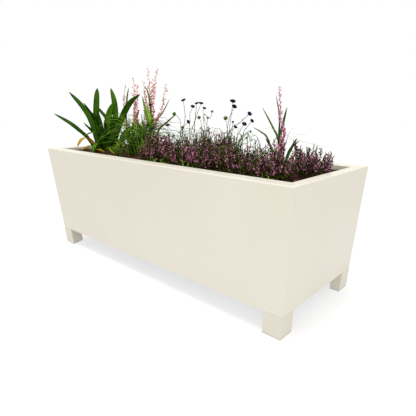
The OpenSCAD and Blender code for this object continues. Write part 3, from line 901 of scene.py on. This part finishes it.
SWORDS = [
    (((-10, -20, 0), (-25, -25, 105), (-45, -25, 185), (-55, -25, 225)), 5, 30, 0.55),
    (((0, -20, 0), (-5, -25, 140), (-15, -25, 230), (-35, -25, 260)), 3.5, 30, 0.25),
    (((5, -30, 0), (5, -35, 100), (5, -40, 140), (-5, -45, 190)), 9, 40, 0.95),
    (((10, -30, 0), (15, -40, 90), (25, -45, 150)), 6, 40, 0.8),
    (((10, -15, 0), (0, -15, 115), (40, -5, 165), (75, 5, 215)), 2.5, 30, 0.35),
    (((20, -40, 0), (55, -45, 95), (120, -55, 130), (175, -55, 160)), 4, 30, 0.7),
    (((-190, -5, 0), (-210, -5, 120), (-190, -5, 215), (-170, -5, 260)), 4, 30, 0.35),
    (((-150, -5, 0), (-160, -5, 90), (-135, -5, 140), (-110, -5, 175)), 5.5, 30, 0.1),
    (((-130, -5, 0), (-120, -5, 90), (-140, -5, 160)), 5, 30, 0.08),
    (((-110, -5, 0), (-95, -5, 80), (-90, -5, 140)), 5.5, 45, 0.05),
    (((-90, -5, 0), (-100, -5, 70), (-120, -5, 120)), 5.5, 30, 0.08),
    (((-170, -5, 0), (-175, -5, 70), (-160, -5, 130)), 5, 30, 0.12),
    (((-60, -5, 0), (-55, -5, 70), (-40, -5, 120)), 4.5, 30, 0.1),
    (((15, -25, 0), (30, -35, 60), (50, -45, 95)), 4, 40, 0.6),
    (((-15, -25, 0), (-35, -35, 60), (-60, -45, 95)), 4, 40, 0.5),
]


def stems_from(root_at, table, steps, base_half, tip_half, tone):
    """Lines to grow, from a table of offsets in mm and two half widths in mm."""
    ends = base_half * MM, tip_half * MM, tone
    return [(path_from(root_at, offsets, steps), *ends) for offsets in table]


def bell(name, sides, rings):
    """A small closed flower of (radius, height) rings, which starts and ends in a point."""
    turns = [2 * math.pi * j / sides for j in range(sides)]
    rows = []
    for radius, height in rings[1:-1]:
        rows.append([(radius * math.cos(turn), radius * math.sin(turn), height) for turn in turns])
    return ringed(name, (0, 0, rings[0][1]), rows, (0, 0, rings[-1][1]))


def put_away(*pieces):
    """Takes away small pieces that have been set out everywhere they are needed."""
    for piece in pieces:
        bpy.data.objects.remove(piece)


sword_green = plant_material("sword_leaf_green", (0.014, 0.062, 0.01), (0.27, 0.48, 0.05), glow=0.1)
spike_stem = plant_material("spike_stem", (0.2, 0.16, 0.06), (0.45, 0.3, 0.16))
salmon = plant_material("salmon_floret", (0.52, 0.13, 0.1), (0.84, 0.42, 0.32), roughness=0.6)
blush = plant_material("blush_floret", (0.66, 0.22, 0.22), (0.9, 0.54, 0.5), roughness=0.6)
root_at = root_of("pink_spikes")
stands_for(leaf_blades("sword_leaves", root_at, SWORDS, sword_green), "pink_spikes")
floret = bell("floret", 5, ((0, 0), (0.0004, 0.002), (0.0018, 0.006), (0.0036, 0.008), (0, 0.0068)))
bud = bell("bud", 4, ((0, 0), (0.0005, 0.003), (0.0019, 0.006), (0.0014, 0.008), (0, 0.0095)))
spikes = grow(
    "pink_flower_spikes",
    stems_from(root_at, SPIKES, 5, 0.9, 0.3, 0.5),
    spike_stem,
    leaf=(bud, salmon, 0.0042, 0.4, 1.0, 0.6, 1.35, 1.0, 0.8, 0.4),
    flower=(floret, blush, 0.0031, 0.36, 0.86, 0.6, 1.3, 0.6, 1.0, 0.5),
)
stands_for(spikes, "pink_spikes")
put_away(floret, bud)

# --------------------
# Scabious: wiry grey-green stems that branch and sway, with flat heads of dark purple florets
# at their tips, round green buds, and small lobed leaves lower down.
SCABIOUS = {
    # Each stem: points in mm from the root, head: dark, violet or green, head half width in mm.
    "scabious_left": [
        (((-15, 20, 0), (-55, 5, 80), (-40, 5, 150), (-45, 5, 205)), "dark", 9.5),
        (((-20, 0, 0), (-20, 5, 100), (-15, 5, 160), (-10, 5, 170), (0, 5, 185)), "violet", 8),
        (((-10, 0, 0), (10, 5, 145), (15, 5, 170), (20, 5, 195)), "violet", 8),
        (((-30, 5, 0), (-20, 5, 80), (20, 5, 160), (35, 10, 195)), "dark", 8.5),
        (((80, 5, 0), (80, 5, 85), (50, 5, 160), (55, 5, 180)), "violet", 7),
        (((-70, 0, 0), (-70, 5, 90), (-55, 5, 115), (-25, 5, 135)), "dark", 8),
        (((-140, 0, 0), (-140, 5, 60), (-135, 5, 120)), "dark", 9),
        (((-235, 10, 0), (-230, 0, 60), (-225, 0, 105)), "violet", 8),
        (((-250, 20, 0), (-255, 10, 60), (-260, 10, 115)), "dark", 7),
        (((-225, 20, 0), (-235, 20, 110), (-250, 20, 190)), "dark", 8),
        (((-70, 5, 0), (-65, 5, 115), (-70, 5, 145), (-95, 5, 160)), "green", 8),
        (((75, 5, 0), (50, 5, 150), (80, 5, 150), (90, 5, 170)), "green", 5),
        (((35, 5, 0), (40, 5, 120), (30, 5, 150)), "green", 7),
        (((-50, 5, 0), (-60, 5, 70), (-55, 5, 115)), "green", 7),
        (((40, 5, 0), (60, 5, 100), (70, 5, 150)), "green", 5),
        (((-100, 5, 0), (-110, 5, 60), (-105, 5, 85)), "green", 5),
    ],
    "scabious_right": [
        (((-40, -15, 0), (-45, -15, 105), (-35, -15, 170), (-30, -15, 200)), "dark", 9.5),
        (((-50, -15, 0), (-55, -15, 100), (-45, -15, 150), (-25, -15, 185)), "dark", 8.5),
        (((-85, -15, 0), (-45, -15, 110), (0, -15, 140), (35, -15, 165)), "violet", 7.5),
        (((-5, -15, 0), (10, -15, 100), (20, -15, 120), (45, -15, 145)), "violet", 7),
        (((-20, -15, 0), (-15, -15, 90), (-5, -15, 110), (15, -15, 135)), "dark", 8.5),
        (((-60, -15, 0), (-60, -15, 90), (-20, -15, 125)), "dark", 6.5),
        (((-50, -15, 0), (-50, -15, 95), (-55, -15, 125), (-60, -15, 150)), "green", 8),
        (((-35, -15, 0), (-35, -15, 90), (-30, -15, 140)), "green", 4.5),
        (((25, -15, 0), (30, -15, 100), (30, -15, 115), (40, -15, 115)), "green", 4),
        (((20, -15, 0), (30, -15, 60), (25, -15, 95)), "green", 4),
        (((-10, -15, 0), (-15, -15, 60), (5, -15, 100)), "green", 3.5),
    ],
}
FOLIAGE_BLADES = {"scabious_left": 70, "scabious_right": 34}
FOLIAGE_SPREAD = (0.055, 0.02)
FOLIAGE_HEIGHT, FOLIAGE_REACH = (0.07, 0.155), (0.02, 0.09)
HEAD_FLORETS = 40
HEAD_FLAT, BUD_FLAT = 0.42, 0.85
CORE_SHARE = 0.9
FLORET_FROM, FLORET_TO, FLORET_HALF = 0.55, (0.92, 1.06), 0.17
SCABIOUS_SEED = 41

wiry = plant_material("scabious_stem", (0.045, 0.055, 0.03), (0.15, 0.22, 0.07))
leafy = plant_material("scabious_leaf", (0.025, 0.075, 0.012), (0.17, 0.32, 0.06))
heads = {
    "dark": plant_material("dark_scabious_head", (0.002, 0.001, 0.003), (0.012, 0.006, 0.018)),
    "violet": plant_material("violet_scabious_head", (0.003, 0.001, 0.01), (0.024, 0.01, 0.075)),
    "green": plant_material("green_scabious_bud", (0.03, 0.065, 0.012), (0.14, 0.22, 0.045)),
}


def dome(name, spot, way, half, florets, material, chance):
    """A flower head: a flattened core with florets standing out of it all round."""
    flat = HEAD_FLAT if florets else BUD_FLAT
    turn = way.normalized().to_track_quat("Z", "Y").to_matrix()
    core_half = half * CORE_SHARE
    core = lump(name, 6, 10, (core_half, core_half, core_half * flat), 0.05, 1)
    vertices = [turn @ vertex.co + spot for vertex in core.data.vertices]
    faces = [tuple(face.vertices) for face in core.data.polygons]
    put_away(core)
    for _ in range(florets):
        z = chance.uniform(-0.35, 1.0)
        angle = chance.uniform(0, FULL_TURN)
        level = math.sqrt(1 - z * z)
        out = Vector((level * math.cos(angle), level * math.sin(angle), z))
        pressed = Vector((out.x, out.y, out.z * flat)) * half
        inner, outer = pressed * FLORET_FROM, pressed * chance.uniform(*FLORET_TO)
        side = out.orthogonal().normalized() * half * FLORET_HALF
        other = out.cross(side)
        middle = inner.lerp(outer, 0.65)
        start = len(vertices)
        for point in (inner, middle + side, middle + other, middle - side, middle - other, outer):
            vertices.append(turn @ point + spot)
        for k in range(4):
            a, b = start + 1 + k, start + 1 + (k + 1) % 4
            faces += [(start, b, a), (start + 5, a, b)]
    made = new_piece(name, vertices, faces, material)
    add_values(made, {"tone": [chance.uniform(0.0, 1.0) for _ in vertices]})
    return made


def merged(name, pieces):
    """Joins finished pieces into one mesh, each with its own material."""
    first = pieces[0]
    for piece in pieces:
        piece.select_set(True)
    chosen = {"selected_objects": pieces, "selected_editable_objects": pieces}
    with bpy.context.temp_override(active_object=first, object=first, **chosen):
        bpy.ops.object.join()
    first.name = name
    first.data.name = name
    first.select_set(False)
    return first


chance = random.Random(SCABIOUS_SEED)
leaflet = bell("leaflet", 4, ((0, 0), (0.002, 0.006), (0.0014, 0.011), (0, 0.016)))
for node, stems in SCABIOUS.items():
    root_at = root_of(node)
    lines, crowns = [], []
    for offsets, kind, half in stems:
        line = path_from(root_at, offsets, 6)
        lines.append((line, 1.15 * MM, 0.8 * MM, chance.uniform(0.0, 1.0)))
        florets = 0 if kind == "green" else HEAD_FLORETS
        up = (line[-1] - line[-2]).normalized()
        tip = up * half * MM * 0.2
        up += Vector((chance.uniform(-0.35, 0.35), chance.uniform(-0.4, -0.05), 0))
        crowns.append(dome(kind, line[-1] + tip, up, half * MM, florets, heads[kind], chance))
    for _ in range(FOLIAGE_BLADES[node]):
        base = root_at + Vector([chance.gauss(0.0, spread) for spread in FOLIAGE_SPREAD] + [0])
        rise = chance.uniform(*FOLIAGE_HEIGHT)
        way = chance.uniform(0, FULL_TURN)
        blade = arching(base, way, chance.uniform(*FOLIAGE_REACH), rise, rise * 0.3)
        lines.append((blade, 1.2 * MM, 0.4 * MM, 1.0))
    leaves = (leaflet, leafy, 0.017, 0.15, 0.85, 0.35, 1.0, 0.6, 0.8, 0.5)
    stalks = grow(node + "_stems", lines, wiry, leaf=leaves)
    stands_for(merged(node + "_flowers", [stalks] + crowns), node)
put_away(leaflet)

# --------------------
# Spiked grass on the right: one tall pink flower spike between narrow upright leaves, with a
# few dry pale wisps that trail over the right end. Offsets, leaves and tones as above.
TALL_SPIKE = [
    ((0, -5, 0), (0, -15, 70), (10, -10, 105), (-5, -5, 155), (-10, -5, 195), (-15, -5, 240)),
    ((5, -10, 0), (10, -15, 60), (10, -10, 95), (10, -10, 130)),
    ((0, -15, 0), (5, -20, 60), (10, -20, 105)),
    ((-5, -15, 0), (-10, -20, 50), (-15, -25, 90)),
]
TUFT_LEAVES = [
    (((-5, -5, 0), (-10, -5, 85), (-35, -5, 130), (-75, -5, 185)), 3.2, 30, 0.45),
    (((-5, -5, 0), (-10, -5, 90), (-10, -5, 155), (-25, -5, 220)), 2.6, 30, 0.25),
    (((0, -5, 0), (-5, -5, 95), (5, -5, 145), (15, -5, 185)), 4.2, 40, 0.4),
    (((-10, -5, 0), (-50, -5, 90), (-75, -5, 110), (-110, -5, 125)), 3, 30, 0.3),
    (((10, -5, 0), (25, -5, 45), (40, -5, 75), (55, -5, 100)), 4.5, 30, 0.45),
    (((-5, -10, 0), (-25, -15, 60), (-50, -20, 95)), 3.5, 30, 0.2),
    (((5, -10, 0), (10, -15, 60), (30, -20, 90)), 3.5, 30, 0.3),
    (((0, 5, 0), (-10, 10, 70), (-25, 20, 120)), 3.5, 30, 0.2),
    (((5, 5, 0), (15, 20, 60), (40, 35, 90)), 3.5, 30, 0.3),
    (((15, -10, 0), (40, -10, 40), (70, -10, 60)), 3, 30, 0.4),
]
WISPS = [
    ((10, -5, 60), (20, -5, 95), (75, -5, 90), (110, -5, 85), (155, -5, 80)),
    ((10, -5, 60), (30, -5, 120), (50, -5, 125)),
    ((10, -5, 60), (25, -5, 110), (50, -5, 110), (85, -5, 110)),
    ((0, -5, 60), (-15, -5, 110), (-40, -5, 125), (-65, -5, 120)),
]

rose = plant_material("rose_floret", (0.5, 0.08, 0.24), (0.88, 0.42, 0.6), roughness=0.6)
apricot = plant_material("apricot_bud", (0.62, 0.18, 0.06), (0.88, 0.48, 0.2), roughness=0.6)
dry = plant_material("dry_wisp", (0.3, 0.28, 0.2), (0.6, 0.58, 0.48))
root_at = root_of("spiked_grass")
stands_for(leaf_blades("tuft_leaves", root_at, TUFT_LEAVES, grass_green), "spiked_grass")
floret = bell("floret", 5, ((0, 0), (0.0008, 0.001), (0.0015, 0.004), (0.0032, 0.0065), (0, 0.005)))
bud = bell("bud", 4, ((0, 0), (0.0013, 0.002), (0.0011, 0.004), (0, 0.006)))
spike = grow(
    "tall_pink_spike",
    stems_from(root_at, TALL_SPIKE, 5, 1.2, 0.5, 0.5),
    spike_stem,
    leaf=(bud, apricot, 0.011, 0.45, 1.0, 0.8, 1.3, 1.0, 0.9, 0.4),
    flower=(floret, rose, 0.0032, 0.25, 1.0, 0.9, 1.7, 0.5, 1.1, 0.5),
)
stands_for(spike, "spiked_grass")
put_away(floret, bud)
wisps = grow("dry_wisps", stems_from(root_at, WISPS, 6, 0.55, 0.25, 0.6), dry)
stands_for(wisps, "spiked_grass")

# --------------------
# Heather: eight bushy plants along the front and behind at the right, each a crowd of upright
# woody stems with needle leaves below and close pink-purple bells above.
HEATHER_STEMS = 78
HEATHER_BARREN = 0.33
HEATHER_START = 0.35
HEATHER_TALL = {1: 0.95, 2: 1.0, 3: 1.12, 4: 1.1, 5: 1.12, 6: 1.1, 7: 0.95, 8: 1.12}
HEATHER_FALL = {6: 0.2, 8: 0.6}
HEATHER_SPREAD, HEATHER_LEAN = 0.8, 0.3
HEATHER_HEIGHT, HEATHER_EDGE_LOSS = (0.48, 1.14), 0.25
PATCH_DEPTH, PATCH_PACE = 0.4, 22
TIP_STIR, MIDDLE_STIR = 0.006, 0.004
HEATHER_SEED = 51

heather_wood = plant_material("heather_wood", (0.014, 0.01, 0.003), (0.085, 0.08, 0.014))
needle_green = plant_material("needle_green", (0.01, 0.018, 0.002), (0.14, 0.18, 0.02))
heather_bell = plant_material("heather_bell", (0.036, 0.004, 0.016), (0.72, 0.26, 0.45), roughness=0.6)
needle = bell("needle", 3, ((0, 0), (0.0011, 0.003), (0.0008, 0.007), (0, 0.0095)))
cup = bell("cup", 5, ((0, 0), (0.0022, 0.0016), (0.0024, 0.0046), (0.0012, 0.0068), (0, 0.0062)))
leaves = (needle, needle_green, 0.0042, 0.1, 1.0, 0.7, 1.35, 1.0, 0.7, 0.4)
flowers = (cup, heather_bell, 0.0036, 0.34, 1.0, 0.45, 1.25, 0.7, 0.9, 0.6)
chance = random.Random(HEATHER_SEED)
for number, tall in HEATHER_TALL.items():
    node = "heather_" + str(number)
    low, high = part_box(node)
    root_at = root_of(node)
    radius = (high.x - low.x) / 2
    flowering, barren = [], []
    for _ in range(HEATHER_STEMS):
        angle = chance.uniform(0, FULL_TURN)
        reach = radius * 1.02 * math.sqrt(chance.random())
        out = Vector((math.cos(angle), math.sin(angle), 0))
        base = root_at + out * reach * HEATHER_SPREAD
        # The first plant leaves its far left side to the grass.
        if number == 1 and base.x - root_at.x < radius * HEATHER_START - 0.8 * (base.y - root_at.y):
            continue
        height = (high.z - low.z) * chance.uniform(*HEATHER_HEIGHT)
        height *= 1.0 - HEATHER_EDGE_LOSS * reach / radius
        height *= tall + PATCH_DEPTH * noise.noise(base * PATCH_PACE)
        height *= 1 - HEATHER_FALL.get(number, 0.0) * max(0, base.x - root_at.x) / radius
        top = base + out * reach * HEATHER_LEAN + Vector((0, 0, height))
        top.x += chance.uniform(-TIP_STIR, TIP_STIR)
        stir = Vector((chance.uniform(-1, 1), chance.uniform(-1, 1), 0)) * MIDDLE_STIR
        middle = base.lerp(top, 0.5) + stir
        kind = barren if chance.random() < HEATHER_BARREN else flowering
        kind.append((path_through([base, middle, top], 3), 0.9 * MM, 0.5 * MM, chance.random()))
    bush = [
        grow(node + "_bush", flowering, heather_wood, 3, leaf=leaves, flower=flowers),
        grow(node + "_sprigs", barren, heather_wood, 3, leaf=leaves),
    ]
    stands_for(merged(node + "_bush", bush), node)
put_away(needle, cup)

# --------------------
# Young shoots: short bright green tufts that come up between the heather and the front rim,
# placed in steps of the heather's spacing along it and of its half spacing towards the front.
SHOOTS = ((0.3, -0.8, 15), (0.8, -0.84, 12), (1.6, -0.8, 10), (4.2, -0.78, 4))
SHOOT_SEED = 61

shoot_green = plant_material("shoot_green", (0.05, 0.13, 0.01), (0.3, 0.46, 0.06))
chance = random.Random(SHOOT_SEED)
root_at = root_of("heather_2")
step = root_of("heather_3").x - root_at.x
lines = []
for along, back, count in SHOOTS:
    for _ in range(count):
        base = root_at + Vector((along * step + chance.gauss(0, 0.01), back * step / 2, 0))
        base.y += chance.gauss(0, 0.004)
        rise = chance.uniform(0.014, 0.036)
        way = chance.uniform(0, FULL_TURN)
        blade = arching(base, way, chance.uniform(0.004, 0.018), rise, rise * 0.2)
        lines.append((blade, chance.uniform(1.2, 2.2) * MM, 0.4 * MM, chance.random()))
stands_for(grow("young_shoots", lines, shoot_green), "heather_2")
